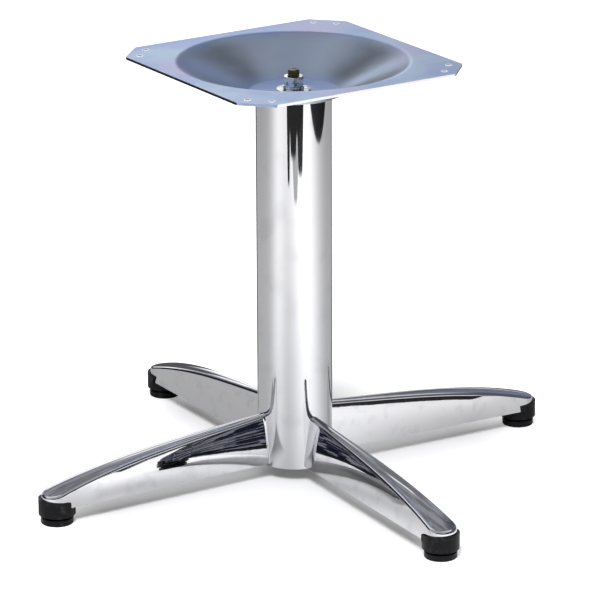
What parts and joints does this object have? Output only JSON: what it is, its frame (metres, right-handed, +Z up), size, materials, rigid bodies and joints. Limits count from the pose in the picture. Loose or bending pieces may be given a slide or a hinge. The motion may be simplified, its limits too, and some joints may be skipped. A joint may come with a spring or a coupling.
{
  "type": "table base",
  "caption": "Low pedestal table base: dished square mounting plate on a round column with arched channel legs and screw-in levelling glides.",
  "frame": {"origin": "on the floor, on the column's axis, at the middle of the bottom of the base's box", "axes": "+Z up along the column; X and Y square to the mounting plate's sides; the legs lie near the axes, turned by -2.1 degrees about +Z"},
  "size_m": [0.5856, 0.5856, 0.434],
  "materials": {
    "chrome": "bright chrome plating",
    "zinc_plate": "bright blue zinc plating",
    "zinc_plated_steel": "zinc plated",
    "black_plastic": "moulded, fine satin",
    "glide_plastic": "moulded, satin"
  },
  "bodies": {
    "base": {"top_plate": "zinc_plate", "column_tube": "chrome", "rod_anchor_plate": "zinc_plated_steel", "tie_rod": "zinc_plated_steel", "top_washer": "zinc_plated_steel", "lock_washer": "zinc_plated_steel", "top_nut": "zinc_plated_steel", "bottom_washer": "zinc_plated_steel", "bottom_nut": "zinc_plated_steel", "leg_front_left": "chrome", "end_cap_front_left": "black_plastic", "insert_front_left": "zinc_plated_steel", "leg_front_right": "chrome", "end_cap_front_right": "black_plastic", "insert_front_right": "zinc_plated_steel", "leg_back_right": "chrome", "end_cap_back_right": "black_plastic", "insert_back_right": "zinc_plated_steel", "leg_back_left": "chrome", "end_cap_back_left": "black_plastic", "insert_back_left": "zinc_plated_steel"},
    "pad_front_left": {"glide_pad_front_left": "glide_plastic"},
    "stud_front_left": {"glide_stud_front_left": "zinc_plated_steel"},
    "pad_front_right": {"glide_pad_front_right": "glide_plastic"},
    "stud_front_right": {"glide_stud_front_right": "zinc_plated_steel"},
    "pad_back_right": {"glide_pad_back_right": "glide_plastic"},
    "stud_back_right": {"glide_stud_back_right": "zinc_plated_steel"},
    "pad_back_left": {"glide_pad_back_left": "glide_plastic"},
    "stud_back_left": {"glide_stud_back_left": "zinc_plated_steel"}
  },
  "joints": [
    {"name": "level_front_left", "type": "slide", "parent": "base", "child": "pad_front_left", "axis": [0, 0, -1], "range_m": [-0.0043, 0.004]},
    {"name": "screw_front_left", "type": "hinge", "parent": "pad_front_left", "child": "stud_front_left", "pos_m": [-0.27432, 0.01006, 0], "axis": [0, 0, -1], "range_deg": [-1239.4, 1153]},
    {"name": "level_front_right", "type": "slide", "parent": "base", "child": "pad_front_right", "axis": [0, 0, -1], "range_m": [-0.0043, 0.004]},
    {"name": "screw_front_right", "type": "hinge", "parent": "pad_front_right", "child": "stud_front_right", "pos_m": [-0.01006, -0.27432, 0], "axis": [0, 0, -1], "range_deg": [-1239.4, 1153]},
    {"name": "level_back_right", "type": "slide", "parent": "base", "child": "pad_back_right", "axis": [0, 0, -1], "range_m": [-0.0043, 0.004]},
    {"name": "screw_back_right", "type": "hinge", "parent": "pad_back_right", "child": "stud_back_right", "pos_m": [0.27432, -0.01006, 0], "axis": [0, 0, -1], "range_deg": [-1239.4, 1153]},
    {"name": "level_back_left", "type": "slide", "parent": "base", "child": "pad_back_left", "axis": [0, 0, -1], "range_m": [-0.0043, 0.004]},
    {"name": "screw_back_left", "type": "hinge", "parent": "pad_back_left", "child": "stud_back_left", "pos_m": [0.01006, 0.27432, 0], "axis": [0, 0, -1], "range_deg": [-1239.4, 1153]}
  ],
  "couplings": [
    {"joint": "screw_front_left", "follows": "level_front_left", "rad_per_m": 5026.5},
    {"joint": "screw_front_right", "follows": "level_front_right", "rad_per_m": 5026.5},
    {"joint": "screw_back_right", "follows": "level_back_right", "rad_per_m": 5026.5},
    {"joint": "screw_back_left", "follows": "level_back_left", "rad_per_m": 5026.5}
  ]
}
